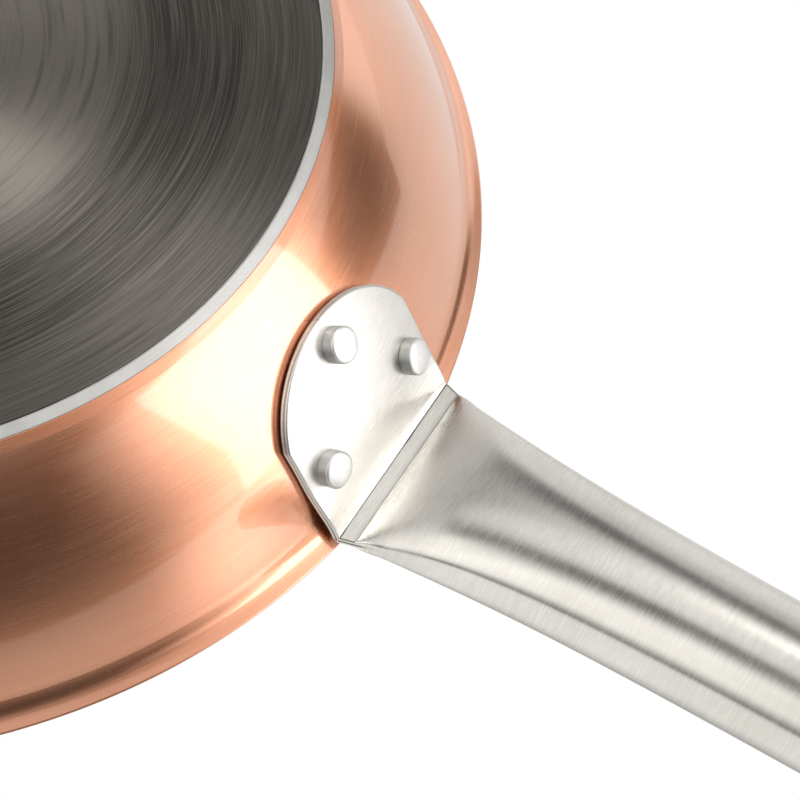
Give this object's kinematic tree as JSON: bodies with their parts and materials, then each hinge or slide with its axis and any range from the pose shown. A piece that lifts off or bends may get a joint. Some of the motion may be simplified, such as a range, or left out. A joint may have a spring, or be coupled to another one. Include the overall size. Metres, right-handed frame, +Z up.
{
  "type": "frying pan",
  "caption": "Flared copper frying pan with a turned steel induction base, an out-turned lip and a tubular steel handle flattened, bent and riveted to the wall.",
  "frame": {"origin": "centre of the base's underside, where the pan stands", "axes": "+Z up along the pan's axis, +X from the pan's axis out along the handle, +Y to the left of the handle"},
  "size_m": [0.4357, 0.2484, 0.072],
  "materials": {
    "copper_shell": "satin copper, brushed round the wall",
    "aluminium_core": "satin",
    "steel_lining": "satin, brushed round the bowl",
    "heat_spreader": "bright turned edge",
    "induction_plate": "dark, turned in fine rings",
    "handle": "satin, brushed across the tube",
    "rivets": "matte"
  },
  "bodies": {
    "root": {"copper_shell": "copper_shell", "aluminium_core": "aluminium_core", "steel_lining": "steel_lining", "heat_spreader": "heat_spreader", "induction_plate": "induction_plate", "handle": "handle", "rivet_apex": "rivets", "rivet_left": "rivets", "rivet_right": "rivets"}
  },
  "joints": []
}
